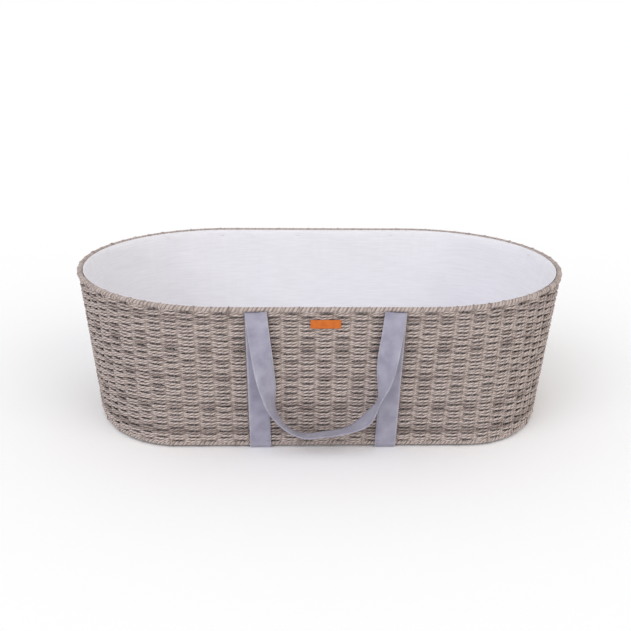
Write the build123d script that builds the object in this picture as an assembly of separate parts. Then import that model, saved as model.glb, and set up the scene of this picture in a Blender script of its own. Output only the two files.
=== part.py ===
from build123d import *
import math
import os

# Moses basket: an oval wicker basket woven from paper rope on a wire frame, with a cotton
# liner, cotton webbing straps and handles, and a loose mattress. Millimetres, +Z up, long
# axis along X. The origin is the middle of the footprint, on the surface it stands on.

# Outline: two straight sides joined by half-ellipse ends, larger at the rim than at the base
RIM_LENGTH = 840.0
RIM_WIDTH = 440.0
RIM_STRAIGHT = 320.0
BASE_LENGTH = 776.0
BASE_WIDTH = 388.0
BASE_STRAIGHT = 490.0
HEIGHT = 260.0

# Woven wall and base
WALL_THICKNESS = 8.0
BASE_THICKNESS = 8.0
STAKE_COUNT = 76
STAKE_DIAMETER = 3.0
CROSS_WIRE_DIAMETER = 3.0
CROSS_WIRE_COUNT = 11
CROSS_WIRE_SPACING = 54.0
LONG_WIRE_COUNT = 5
LONG_WIRE_SPACING = 58.0
LONG_WIRE_CLEARANCE = 0.3

# Rope borders, each whipped round a wire hoop and bound with cord loops
RIM_ROPE_DIAMETER = 10.0
RIM_ROPE_PROUD = 2.0
RIM_WIRE_DIAMETER = 5.0
BASE_ROPE_DIAMETER = 8.0
BASE_WIRE_DIAMETER = 4.0
LOOP_CORD_DIAMETER = 1.6
LOOP_FIT = 0.1
LOOP_CLEARANCE = 0.5
STAKES_PER_LOOP = 2

# Cotton webbing
STRAP_WIDTH = 35.0
STRAP_THICKNESS = 1.6
STRAP_SPACING_RIM = 224.0
STRAP_SPACING_BASE = 208.0
STRAP_CLEARANCE = 0.3
HANDLE_CLEARANCE = 0.4
HANDLE_ABOVE_GROUND = 36.3
HANDLE_SECTIONS = 32

# Bar tacks across each strap, just above the base
TACK_LENGTH = 5.0
TACK_HEIGHT = 1.6
TACK_RAISE = 0.5
TACK_FROM_BASE = 14.0
TACK_FROM_EDGE = 5.0

# Liner
LINER_THICKNESS = 1.2
LINER_CLEARANCE = 0.3
HEM_THICKNESS = 2.4
HEM_HEIGHT = 14.0

# Leather tag, sewn to the front below the rim
TAG_LENGTH = 49.0
TAG_HEIGHT = 15.0
TAG_THICKNESS = 2.0
TAG_BELOW_RIM = 29.0
TAG_STITCH_LENGTH = 3.0
TAG_STITCH_WIDTH = 0.8
TAG_STITCH_RAISE = 0.4
TAG_STITCH_INSET = 2.0
TAG_CORNER = 1.5

# Mattress
MATTRESS_THICKNESS = 40.0
MATTRESS_SIDE_GAP = 7.0
MATTRESS_EDGE_RADIUS = 12.0
MATTRESS_CLEARANCE = 0.3
COVER_THICKNESS = 1.2

# Heights that follow from the sizes above, from the ground up
LOOP_RING_BASE = BASE_ROPE_DIAMETER / 2 + LOOP_FIT + LOOP_CORD_DIAMETER
LOOP_RING_RIM = RIM_ROPE_DIAMETER / 2 + LOOP_FIT + LOOP_CORD_DIAMETER
BASE_BOTTOM = STRAP_THICKNESS
BASE_TOP = BASE_BOTTOM + BASE_THICKNESS
BASE_ROPE_Z = BASE_BOTTOM + LOOP_RING_BASE
WALL_BOTTOM = BASE_ROPE_Z + LOOP_RING_BASE
RIM_ROPE_Z = HEIGHT - RIM_ROPE_DIAMETER / 2
WALL_TOP = RIM_ROPE_Z - LOOP_RING_RIM
FLOOR_TOP = BASE_TOP + LINER_THICKNESS

# Distances in from the outline
STAKE_INSET = WALL_THICKNESS / 2
RIM_ROPE_INSET = RIM_ROPE_DIAMETER / 2 - RIM_ROPE_PROUD
BASE_ROPE_INSET = BASE_ROPE_DIAMETER / 2
BASE_INSET = BASE_ROPE_INSET + LOOP_RING_BASE + LOOP_CLEARANCE
RIM_LOOP_REACH = RIM_ROPE_INSET + LOOP_RING_RIM + LOOP_CLEARANCE
LINER_INSET = max(WALL_THICKNESS, BASE_INSET, RIM_LOOP_REACH) + LINER_CLEARANCE

# The fold at the top of each handle, which is its hinge line
HANDLE_PLANE_Y = RIM_WIDTH / 2 + RIM_ROPE_PROUD + HANDLE_CLEARANCE + STRAP_THICKNESS / 2
HANDLE_FOLD_Z = WALL_TOP
HANDLE_DROP = HANDLE_FOLD_Z - HANDLE_ABOVE_GROUND


def mix(at_base, at_rim, z):
    """Value at height z of a size that changes evenly from the base to the rim."""
    return at_base + (at_rim - at_base) * z / HEIGHT


def outline_sizes(z, inset):
    """Half of the straight side, and the end ellipse's X and Y radii, at height z."""
    half_straight = mix(BASE_STRAIGHT, RIM_STRAIGHT, z) / 2
    half_length = mix(BASE_LENGTH, RIM_LENGTH, z) / 2 - inset
    half_width = mix(BASE_WIDTH, RIM_WIDTH, z) / 2 - inset
    return half_straight, half_length - half_straight, half_width


def outline(z, inset):
    """The basket's outline at height z, moved in by inset, as a closed wire."""
    half_straight, end_x, end_y = outline_sizes(z, inset)
    front = Line((-half_straight, -end_y), (half_straight, -end_y))
    right = EllipticalCenterArc((half_straight, 0), end_x, end_y, -90, arc_size=180)
    back = Line((half_straight, end_y), (-half_straight, end_y))
    left = EllipticalCenterArc((-half_straight, 0), end_x, end_y, 90, arc_size=180)
    return Pos(0, 0, z) * Wire([front, right, back, left])


def outline_reach_y(x, z, inset):
    """How far the outline reaches in Y at a distance x from the middle."""
    half_straight, end_x, end_y = outline_sizes(z, inset)
    along_end = max(0.0, abs(x) - half_straight) / end_x
    return end_y * math.sqrt(1 - along_end**2)


def outline_reach_x(y, z, inset):
    """How far the outline reaches in X at a distance y from the middle."""
    half_straight, end_x, end_y = outline_sizes(z, inset)
    return half_straight + end_x * math.sqrt(1 - (y / end_y) ** 2)


def block(z_low, z_high, inset):
    """Solid that fills the outline between two heights."""
    return Solid.make_loft([outline(z_low, inset), outline(z_high, inset)], ruled=True)


def shell(z_low, z_high, inset, thickness):
    """Upright wall of one thickness that follows the outline between two heights."""
    return block(z_low, z_high, inset) - block(z_low, z_high, inset + thickness)


def hoop(z, inset, diameter):
    """Round bar that follows the whole outline at one height."""
    path = outline(z, inset)
    section = Plane(origin=path.position_at(0), z_dir=path.tangent_at(0)) * Circle(diameter / 2)
    return sweep(section, path=path)


def rod(start, end, diameter):
    """Round bar between two points."""
    run = Vector(*end) - Vector(*start)
    return Solid.make_cylinder(diameter / 2, run.length, Plane(origin=start, z_dir=run))


def place_on_outline(path, z, share):
    """Point and direction at a share of the outline's length, from the middle of the front."""
    half_straight = outline_sizes(z, 0)[0]
    distance = (half_straight + share * path.length) % path.length
    point = path.position_at(distance, position_mode=PositionMode.LENGTH)
    direction = path.tangent_at(distance, position_mode=PositionMode.LENGTH)
    return point, direction


def rim_wire():
    return hoop(RIM_ROPE_Z, RIM_ROPE_INSET, RIM_WIRE_DIAMETER)


def base_wire():
    return hoop(BASE_ROPE_Z, BASE_ROPE_INSET, BASE_WIRE_DIAMETER)


def stakes(rim_bar, base_bar):
    """Upright wires of the weave, each welded to the base hoop and the rim hoop."""
    low_z = BASE_ROPE_Z + BASE_WIRE_DIAMETER / 4
    high_z = RIM_ROPE_Z - RIM_WIRE_DIAMETER / 4
    heights = (low_z, (low_z + high_z) / 2, high_z)
    paths = [outline(z, STAKE_INSET) for z in heights]
    rods = []
    for index in range(STAKE_COUNT):
        share = index / STAKE_COUNT
        low, middle, high = [
            place_on_outline(path, z, share)[0] for path, z in zip(paths, heights)
        ]
        # The wall bows where a stake is straight; half the gap keeps the stake inside it
        shift = (middle - (low + high) * 0.5) * 0.5
        rods.append(rod(low + shift, high + shift, STAKE_DIAMETER) - base_bar - rim_bar)
    return rods


def spread(count, spacing):
    """Evenly spaced places, centred on zero."""
    return [(index - (count - 1) / 2) * spacing for index in range(count)]


def base_cross_wires(base_bar):
    """Wires across the base, welded to both sides of the base hoop."""
    z = BASE_ROPE_Z
    inset = BASE_ROPE_INSET + BASE_WIRE_DIAMETER / 4
    rods = []
    for x in spread(CROSS_WIRE_COUNT, CROSS_WIRE_SPACING):
        reach = outline_reach_y(x, z, inset)
        rods.append(rod((x, -reach, z), (x, reach, z), CROSS_WIRE_DIAMETER) - base_bar)
    return rods


def base_long_wires():
    """Wires along the base, woven in below the cross wires."""
    z = BASE_ROPE_Z - CROSS_WIRE_DIAMETER - LONG_WIRE_CLEARANCE
    rods = []
    for y in spread(LONG_WIRE_COUNT, LONG_WIRE_SPACING):
        reach = outline_reach_x(y, z, BASE_INSET)
        rods.append(rod((-reach, y, z), (reach, y, z), CROSS_WIRE_DIAMETER))
    return rods


def near_strap(x):
    """Whether a loop at x would lie under a strap or behind a handle."""
    middles = (STRAP_SPACING_RIM / 2, STRAP_SPACING_BASE / 2)
    reach = STRAP_WIDTH / 2 + 2 * LOOP_CORD_DIAMETER
    return min(middles) - reach < abs(x) < max(middles) + reach


def binding_loops(z, inset, rope_diameter):
    """Cord loops round a border rope, between every second pair of stakes."""
    path = outline(z, inset)
    ring_radius = (rope_diameter + LOOP_CORD_DIAMETER) / 2 + LOOP_FIT
    loops = []
    for index in range(0, STAKE_COUNT, STAKES_PER_LOOP):
        point, direction = place_on_outline(path, z, (index + 0.5) / STAKE_COUNT)
        on_long_side = abs(point.Y) > outline_sizes(z, inset)[2] / 2
        if on_long_side and near_strap(point.X):
            continue
        plane = Plane(origin=point, z_dir=direction)
        loops.append(Solid.make_torus(ring_radius, LOOP_CORD_DIAMETER / 2, plane))
    return loops


def woven_wall(stake_rods):
    wall = shell(WALL_BOTTOM, WALL_TOP, 0, WALL_THICKNESS)
    return wall - stake_rods


def woven_base(wires):
    return block(BASE_BOTTOM, BASE_TOP, BASE_INSET) - wires


def rim_rope(wire, stake_rods):
    return hoop(RIM_ROPE_Z, RIM_ROPE_INSET, RIM_ROPE_DIAMETER) - wire - stake_rods


def base_rope(wire, rods):
    return hoop(BASE_ROPE_Z, BASE_ROPE_INSET, BASE_ROPE_DIAMETER) - wire - rods


def strap_section(x, side, z):
    """Level slice of a strap's upright run, on the front (-1) or back (1) of the wall."""
    inner = mix(BASE_WIDTH, RIM_WIDTH, z) / 2 + STRAP_CLEARANCE
    middle = side * (inner + STRAP_THICKNESS / 2)
    return Pos(x, middle, z) * Wire.make_rect(STRAP_WIDTH, STRAP_THICKNESS)


def strap(hand):
    """Webbing strap: up the front wall, under the base and up the back wall."""
    base_x = hand * STRAP_SPACING_BASE / 2
    top_x = hand * mix(STRAP_SPACING_BASE, STRAP_SPACING_RIM, WALL_TOP) / 2
    base_reach = BASE_WIDTH / 2 + STRAP_CLEARANCE + STRAP_THICKNESS
    band = Pos(base_x, 0, STRAP_THICKNESS / 2) * Box(STRAP_WIDTH, 2 * base_reach, STRAP_THICKNESS)
    for side in (-1, 1):
        slices = [strap_section(base_x, side, 0), strap_section(top_x, side, WALL_TOP)]
        band += Solid.make_loft(slices, ruled=True)
    return band


def wall_plane(x, z, raise_by, side=-1):
    """Plane on a long side's outer face: X along the side, Z square to the wall, outward."""
    lean = math.atan2((RIM_WIDTH - BASE_WIDTH) / 2, HEIGHT)
    outward = Vector(0, side * math.cos(lean), -math.sin(lean))
    origin = Vector(x, side * mix(BASE_WIDTH, RIM_WIDTH, z) / 2, z) + outward * raise_by
    return Plane(origin=origin, x_dir=(-side, 0, 0), z_dir=outward)


def strap_tacks():
    """Bar tacks in pairs on each strap's upright run."""
    outer = STRAP_CLEARANCE + STRAP_THICKNESS + TACK_RAISE / 2
    offset = STRAP_WIDTH / 2 - TACK_FROM_EDGE
    tacks = []
    for side in (-1, 1):
        for hand in (-1, 1):
            middle = hand * mix(STRAP_SPACING_BASE, STRAP_SPACING_RIM, TACK_FROM_BASE) / 2
            for along in (-offset, offset):
                plane = wall_plane(middle + along, TACK_FROM_BASE, outer, side)
                tacks.append(plane * Box(TACK_LENGTH, TACK_HEIGHT, TACK_RAISE))
    return tacks


def tag():
    """Blank leather tag with rounded corners."""
    plane = wall_plane(0, HEIGHT - TAG_BELOW_RIM, TAG_THICKNESS / 2)
    plate = Box(TAG_LENGTH, TAG_HEIGHT, TAG_THICKNESS)
    return plane * fillet(plate.edges().filter_by(Axis.Z), TAG_CORNER)


def tag_stitches():
    """Two upright stitches at each end of the tag."""
    plane = wall_plane(0, HEIGHT - TAG_BELOW_RIM, TAG_THICKNESS + TAG_STITCH_RAISE / 2)
    across = TAG_LENGTH / 2 - TAG_STITCH_INSET
    up = TAG_HEIGHT / 4
    stitch = Box(TAG_STITCH_WIDTH, TAG_STITCH_LENGTH, TAG_STITCH_RAISE)
    places = [(x, y) for x in (-across, across) for y in (-up, up)]
    return [plane * Pos(x, y, 0) * stitch for x, y in places]


def handle_path():
    """Middle line of the front handle, from its left fold down and up to its right fold."""
    half_span = mix(STRAP_SPACING_BASE, STRAP_SPACING_RIM, HANDLE_FOLD_Z) / 2
    # Shares of the half span and of the drop; the loop hangs lowest left of its middle
    shares = [
        (-1.0, 1.0),
        (-0.96, 0.75),
        (-0.87, 0.45),
        (-0.72, 0.19),
        (-0.40, 0.02),
        (0.0, 0.01),
        (0.45, 0.09),
        (0.75, 0.26),
        (0.89, 0.48),
        (0.97, 0.76),
        (1.0, 1.0),
    ]
    points = [(x * half_span, -HANDLE_PLANE_Y, HANDLE_ABOVE_GROUND + up * HANDLE_DROP) for x, up in shares]
    return Spline(points, tangents=[(0, 0, -1), (0, 0, 1)])


def handle_twist(share):
    """Degrees that the band has turned: flat at both folds, edge on along the bottom."""
    start, end = 0.10, 0.36
    from_fold = min(share, 1 - share)
    turned = min(1.0, max(0.0, (from_fold - start) / (end - start)))
    return 90 * turned * turned * (3 - 2 * turned)


def handle():
    """Front handle: a band of webbing that turns a quarter on each side of its loop."""
    path = handle_path()
    slices = []
    for index in range(HANDLE_SECTIONS + 1):
        share = index / HANDLE_SECTIONS
        along = path.tangent_at(share)
        across = along.cross(Vector(0, 1, 0))
        plane = Plane(origin=path.position_at(share), x_dir=across, z_dir=along)
        turned = plane * Rot(0, 0, handle_twist(share))
        slices.append(turned * Wire.make_rect(STRAP_WIDTH, STRAP_THICKNESS))
    return Solid.make_loft(slices, ruled=True)


def mattress_block(shrink):
    """Oval pad with rounded top and bottom edges, smaller by shrink all round."""
    z_low = FLOOR_TOP + MATTRESS_CLEARANCE + shrink
    height = MATTRESS_THICKNESS - 2 * shrink
    inset = LINER_INSET + LINER_THICKNESS + MATTRESS_SIDE_GAP + shrink
    footprint = Pos(0, 0, z_low - FLOOR_TOP) * Face(outline(FLOOR_TOP, inset))
    pad = extrude(footprint, amount=height)
    level_edges = pad.edges().group_by(Axis.Z)
    return fillet(level_edges[0] + level_edges[-1], MATTRESS_EDGE_RADIUS - shrink)


def build_parts():
    """Every node's solid or solids, by name."""
    rim_bar = rim_wire()
    base_bar = base_wire()
    stake_rods = stakes(rim_bar, base_bar)
    cross_rods = base_cross_wires(base_bar)
    long_rods = base_long_wires()
    front_handle = handle()
    core = mattress_block(COVER_THICKNESS)
    return {
        "rim_wire": rim_bar,
        "base_wire": base_bar,
        "stakes": stake_rods,
        "base_cross_wires": cross_rods,
        "base_long_wires": long_rods,
        "woven_wall": woven_wall(stake_rods),
        "woven_base": woven_base(cross_rods + long_rods),
        "rim_rope": rim_rope(rim_bar, stake_rods),
        "base_rope": base_rope(base_bar, stake_rods + cross_rods),
        "rim_binding_loops": binding_loops(RIM_ROPE_Z, RIM_ROPE_INSET, RIM_ROPE_DIAMETER),
        "base_binding_loops": binding_loops(BASE_ROPE_Z, BASE_ROPE_INSET, BASE_ROPE_DIAMETER),
        "liner_wall": shell(FLOOR_TOP, WALL_TOP - HEM_HEIGHT, LINER_INSET, LINER_THICKNESS),
        "liner_floor": block(BASE_TOP, FLOOR_TOP, LINER_INSET),
        "liner_hem": shell(WALL_TOP - HEM_HEIGHT, WALL_TOP, LINER_INSET, HEM_THICKNESS),
        "strap_left": strap(-1),
        "strap_right": strap(1),
        "strap_tacks": strap_tacks(),
        "leather_tag": tag(),
        "tag_stitches": tag_stitches(),
        "handle_front": front_handle,
        "handle_back": Rot(0, 0, 180) * front_handle,
        "mattress_core": core,
        "mattress_cover": mattress_block(0) - core,
    }


def write_parts(parts):
    os.makedirs("parts", exist_ok=True)
    for name, shape in parts.items():
        solids = shape if isinstance(shape, list) else [shape]
        node = Compound(children=[Compound(piece.solids()) for piece in solids])
        export_step(node, f"parts/{name}.step")


write_parts(build_parts())
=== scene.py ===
"""Moses basket: paper-rope weave on wire stakes, cotton liner, webbing and a mattress."""
import math

import bmesh
import bpy
import numpy as np
from bpy.props import FloatProperty, FloatVectorProperty, IntProperty, PointerProperty
from mathutils import Matrix, Vector


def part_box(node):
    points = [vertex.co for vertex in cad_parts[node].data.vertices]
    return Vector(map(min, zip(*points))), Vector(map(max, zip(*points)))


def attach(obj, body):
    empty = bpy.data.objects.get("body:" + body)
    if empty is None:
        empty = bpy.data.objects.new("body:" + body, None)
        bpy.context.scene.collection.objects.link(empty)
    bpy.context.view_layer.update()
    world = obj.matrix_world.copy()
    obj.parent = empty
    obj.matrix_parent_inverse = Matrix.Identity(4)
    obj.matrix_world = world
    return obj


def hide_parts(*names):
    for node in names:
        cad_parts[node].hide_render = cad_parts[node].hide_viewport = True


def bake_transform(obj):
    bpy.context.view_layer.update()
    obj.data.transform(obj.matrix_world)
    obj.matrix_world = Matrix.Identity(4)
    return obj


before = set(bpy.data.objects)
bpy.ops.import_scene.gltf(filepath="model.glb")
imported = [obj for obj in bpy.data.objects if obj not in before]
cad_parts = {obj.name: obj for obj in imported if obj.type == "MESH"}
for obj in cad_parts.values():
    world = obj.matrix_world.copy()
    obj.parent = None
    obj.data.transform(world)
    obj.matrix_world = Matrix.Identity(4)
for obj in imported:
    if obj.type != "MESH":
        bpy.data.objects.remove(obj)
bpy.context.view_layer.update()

bl_info = {
    "name": "Moses Basket",
    "version": (1, 0, 0),
    "blender": (4, 5, 0),
    "location": "3D View > Sidebar > Basket",
    "description": "Builds the woven parts, the cloth parts and the studio of a moses basket",
    "category": "Add Mesh",
}

SEED = 7


def cad_corners(node):
    """Lowest and highest corner of a CAD node, as vectors."""
    low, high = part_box(node)
    return Vector(low), Vector(high)


RIM_LOW, RIM_HIGH = cad_corners("rim_rope")
BASE_LOW, BASE_HIGH = cad_corners("base_rope")
HANDLE_LOW, HANDLE_HIGH = cad_corners("handle_front")
TAG_LOW, TAG_HIGH = cad_corners("leather_tag")
PAD_LOW, PAD_HIGH = cad_corners("mattress_cover")
LINER_HIGH = cad_corners("liner_floor")[1]
PLATE_LOW, PLATE_HIGH = cad_corners("woven_base")

# The outline as (half straight side, half length, half width), at the rim and at the ground
RIM_PROUD = 0.002
TOP_Z = RIM_HIGH.z
RIM_OUTLINE = (0.160, 0.420, RIM_HIGH.y - RIM_PROUD)
GROUND_OUTLINE = (0.245, 0.388, 0.194)
STAKES = 76
WEBBING_WIDTH = 0.035
STRAP_X_TOP = 0.112
STRAP_X_GROUND = 0.104
HANDLE_DROP = 0.212
CROSS_WIRE_SPACING = 0.054
STRAND_RADIUS = 0.0017

# The liner: how far its parts' middles lie in from the outline, and their flat lengths
WALL_CLOTH_DEPTH, HEM_DEPTH, FLOOR_CLOTH_DEPTH = 0.0118, 0.0104, 0.0113
WALL_CLOTH_LENGTH = 2.05
HEM_FLAT = (2.10, 0.0106)
HEM_DROP, HEM_HEIGHT = 0.0130, 0.0105

# The mattress: how far its foam and its unpuffed cover lie inside the finished pad
FOAM_SHRINK, COVER_SHRINK = 0.010, 0.003
PUFF_MOST = 0.005
PIPING_INSET = 0.008

TAG_SIZE = (0.049, 0.015, 0.0018)
CAMERA_AIM = Vector((-0.0069, 0, 0.120))
CAMERA_SHIFT_Y = 0.0356
FOLD = Vector((0, (HANDLE_LOW.y + HANDLE_HIGH.y) / 2, HANDLE_HIGH.z))


# ---------------------------------------------------------------- outline


def outline_at(z, inset=0.0):
    """Half straight, half length and half width of the basket at height z, moved in by inset."""
    share = z / TOP_Z
    sizes = [low + (high - low) * share for low, high in zip(GROUND_OUTLINE, RIM_OUTLINE)]
    return sizes[0], sizes[1] - inset, sizes[2] - inset


def even_loop(sizes, count):
    """Evenly spaced points along an outline, from the middle of the front, anticlockwise."""
    half_straight, half_length, half_width = sizes
    angles = np.linspace(-math.pi / 2, math.pi / 2, 400)
    end_x = (half_length - half_straight) * np.cos(angles)
    end_y = half_width * np.sin(angles)
    right = np.column_stack([half_straight + end_x, end_y])
    left = -right
    middle = np.array([[0.0, -half_width]])
    line = np.vstack([middle, right, left, middle])
    steps = np.hypot(*np.diff(line, axis=0).T)
    distance = np.concatenate([[0], np.cumsum(steps)])
    wanted = np.arange(count) / count * distance[-1]
    x = np.interp(wanted, distance, line[:, 0])
    y = np.interp(wanted, distance, line[:, 1])
    return np.column_stack([x, y])


def outward(loop):
    """Outward unit direction at each point of a closed loop."""
    along = np.roll(loop, -1, axis=0) - np.roll(loop, 1, axis=0)
    along /= np.linalg.norm(along, axis=1)[:, None]
    return np.column_stack([along[:, 1], -along[:, 0]])


class WallGrid:
    """Points of the wall at even steps between the stakes, at any height and depth."""

    def __init__(self, steps_per_stake):
        count = STAKES * steps_per_stake
        self.low = even_loop(GROUND_OUTLINE, count)
        self.high = even_loop(RIM_OUTLINE, count)
        self.stake = np.arange(count) / steps_per_stake

    def ring(self, z, depth):
        """Points at heights z and depths in from the outline, one for each step."""
        share = z / TOP_Z
        flat = self.low + (self.high - self.low) * np.broadcast_to(share, len(self.low))[:, None]
        points = flat - outward(flat) * np.broadcast_to(depth, len(flat))[:, None]
        return np.column_stack([points, np.broadcast_to(z, len(flat))])


def slow_wave(random, count, cycles, size):
    """Smooth closed wave of a few random sines, with about the given size."""
    turn = np.linspace(0, 2 * math.pi, count, endpoint=False)
    total = np.zeros(count)
    for _ in range(4):
        whole = random.integers(cycles // 2, cycles * 2)
        total += np.sin(whole * turn + random.uniform(0, 2 * math.pi))
    return total * size / 2


# ---------------------------------------------------------------- making pieces


def add_object(name, data, body=None):
    """New object at the origin, which rides on a CAD body if one is named."""
    piece = bpy.data.objects.new(name, data)
    bpy.context.scene.collection.objects.link(piece)
    if body:
        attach(piece, body)
    return piece


def add_piece(name, mesh, body, material, node=None):
    """New object with a material and a slot, in place of a CAD node if one is named."""
    piece = add_object(name, mesh, body)
    piece.data.materials.append(material)
    if node:
        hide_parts(node)
    return piece


def evaluated_mesh(source):
    """New mesh of what an object's curve or modifiers make."""
    bpy.context.view_layer.update()
    graph = bpy.context.evaluated_depsgraph_get()
    return bpy.data.meshes.new_from_object(source.evaluated_get(graph))


def finished_mesh(bm, name):
    """New mesh from a bmesh, which is freed."""
    mesh = bpy.data.meshes.new(name)
    bm.to_mesh(mesh)
    bm.free()
    return mesh


def rope_mesh(name, lines, radius, closed=True, sides=1, tint_random=None):
    """Mesh of round ropes along lines of points, with a tint attribute for each rope."""
    curve = bpy.data.curves.new(name, "CURVE")
    curve.dimensions = "3D"
    curve.bevel_depth = radius
    curve.bevel_resolution = sides
    curve.use_fill_caps = not closed
    for line in lines:
        spline = curve.splines.new("POLY")
        spline.points.add(len(line) - 1)
        points = np.column_stack([line, np.ones(len(line))])
        spline.points.foreach_set("co", points.ravel())
        spline.use_cyclic_u = closed
        spline.use_smooth = True
    source = add_object(name, curve)
    mesh = evaluated_mesh(source)
    mesh.name = name
    bpy.data.objects.remove(source)
    bpy.data.curves.remove(curve)
    add_tint(mesh, lines, tint_random or np.random.default_rng(SEED))
    return mesh


def add_tint(mesh, lines, random):
    """Stores one random value from 0 to 1 on every vertex of each rope."""
    lengths = np.array([len(line) for line in lines], float)
    bounds = np.cumsum(lengths) / lengths.sum() * len(mesh.vertices)
    owner = np.searchsorted(bounds, np.arange(len(mesh.vertices)), side="right")
    values = random.uniform(0, 1, len(lines) + 1)
    tint = mesh.attributes.new("tint", "FLOAT", "POINT")
    tint.data.foreach_set("value", values[owner].astype(np.float32))


def cloth_grid(name, columns, rows, place, size, closed=False):
    """Grid mesh whose points place(u, v) sets, with a UV map in metres; closed joins its sides."""
    bm = bmesh.new()
    layer = bm.loops.layers.uv.new("UVMap")
    bmesh.ops.create_grid(bm, x_segments=columns, y_segments=rows, size=0.5)
    for face in bm.faces:
        for loop in face.loops:
            across, along = loop.vert.co.x + 0.5, loop.vert.co.y + 0.5
            loop[layer].uv = (across * size[0], along * size[1])
    for vert in bm.verts:
        vert.co = place(vert.co.x + 0.5, vert.co.y + 0.5)
    if closed:
        bmesh.ops.remove_doubles(bm, verts=bm.verts, dist=1e-5)
    for face in bm.faces:
        face.smooth = True
    return finished_mesh(bm, name)


def thicken(piece, thickness):
    """Gives a sheet its thickness, half on each side."""
    solid = piece.modifiers.new("Thickness", "SOLIDIFY")
    solid.thickness = thickness
    solid.offset = 0.0


def smooth_line(controls, count):
    """Even points along a smooth curve through the control points."""
    curve = bpy.data.curves.new("line", "CURVE")
    curve.dimensions = "3D"
    curve.resolution_u = 24
    spline = curve.splines.new("BEZIER")
    spline.bezier_points.add(len(controls) - 1)
    for point, control in zip(spline.bezier_points, controls):
        point.co = control
        point.handle_left_type = "AUTO"
        point.handle_right_type = "AUTO"
    source = add_object("line", curve)
    mesh = evaluated_mesh(source)
    line = np.array([vertex.co for vertex in mesh.vertices])
    bpy.data.objects.remove(source)
    bpy.data.curves.remove(curve)
    bpy.data.meshes.remove(mesh)
    return even_line(line, count)


def even_line(line, count):
    """The same open line with evenly spaced points."""
    line = np.asarray(line, float)
    steps = np.linalg.norm(np.diff(line, axis=0), axis=1)
    distance = np.concatenate([[0], np.cumsum(steps)])
    wanted = np.linspace(0, distance[-1], count)
    return np.column_stack([np.interp(wanted, distance, line[:, axis]) for axis in range(3)])


def line_length(line):
    """Length of an open line of points."""
    return float(np.linalg.norm(np.diff(line, axis=0), axis=1).sum())


def stitch_lines(middles, along, lift, length):
    """Short thread arcs, each rising by lift out of the cloth between its two ends."""
    lines = []
    for middle in middles:
        ends = [middle - along * length / 2, middle + along * length / 2]
        rise = [0.0, 0.7, 1.0, 0.7, 0.0]
        share = np.linspace(0, 1, len(rise))[:, None]
        line = np.array(ends[0]) * (1 - share) + np.array(ends[1]) * share
        lines.append(line + np.array(rise)[:, None] * np.array(lift))
    return lines


# ---------------------------------------------------------------- materials


def srgb(code):
    """Linear colour of an sRGB hex value such as "#b5a9a3"."""
    channels = [int(code[index : index + 2], 16) / 255 for index in (1, 3, 5)]
    return tuple(c / 12.92 if c <= 0.04045 else ((c + 0.055) / 1.055) ** 2.4 for c in channels)


# Settings of a Mix node that multiplies two colours, which are its sockets 6 and 7
MULTIPLY_COLOUR = {"data_type": "RGBA", "blend_type": "MULTIPLY", 0: 1.0}


def start_material(name, **sockets):
    """New material whose Principled shader has the given socket values."""
    material = bpy.data.materials.new(name)
    material.use_nodes = True
    shader = material.node_tree.nodes["Principled BSDF"]
    for socket, value in sockets.items():
        shader.inputs[socket.replace("_", " ")].default_value = value
    return material, shader


def add_node(material, kind, settings=None, links=None):
    """Adds a node, sets its properties and sockets by name or number, and links its inputs.

    A link comes from an output, or from a node, whose first output it then is.
    """
    node = material.node_tree.nodes.new("ShaderNode" + kind)
    for name, value in (settings or {}).items():
        if isinstance(name, str) and hasattr(node, name):
            setattr(node, name, value)
        else:
            node.inputs[name].default_value = value
    for name, source in (links or {}).items():
        connect(material, source, node, name)
    return node


def ramp(material, factor, stops):
    """Colour ramp output with the given (position, colour) stops."""
    node = add_node(material, "ValToRGB", links={"Fac": factor})
    elements = node.color_ramp.elements
    while len(elements) < len(stops):
        elements.new(0.5)
    for element, (position, colour) in zip(elements, stops):
        element.position = position
        element.color = (*colour, 1)
    return node.outputs["Color"]


def connect(material, source, node, socket):
    """Links an output, or a node's first output, to a node's input."""
    output = source.outputs[0] if isinstance(source, bpy.types.Node) else source
    material.node_tree.links.new(output, node.inputs[socket])


def add_bump(material, shader, height, depth, strength=1.0):
    """Bump of a real depth in metres on the shader."""
    settings = {"Distance": depth, "Strength": strength}
    bump = add_node(material, "Bump", settings, {"Height": height})
    connect(material, bump.outputs["Normal"], shader, "Normal")


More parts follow.
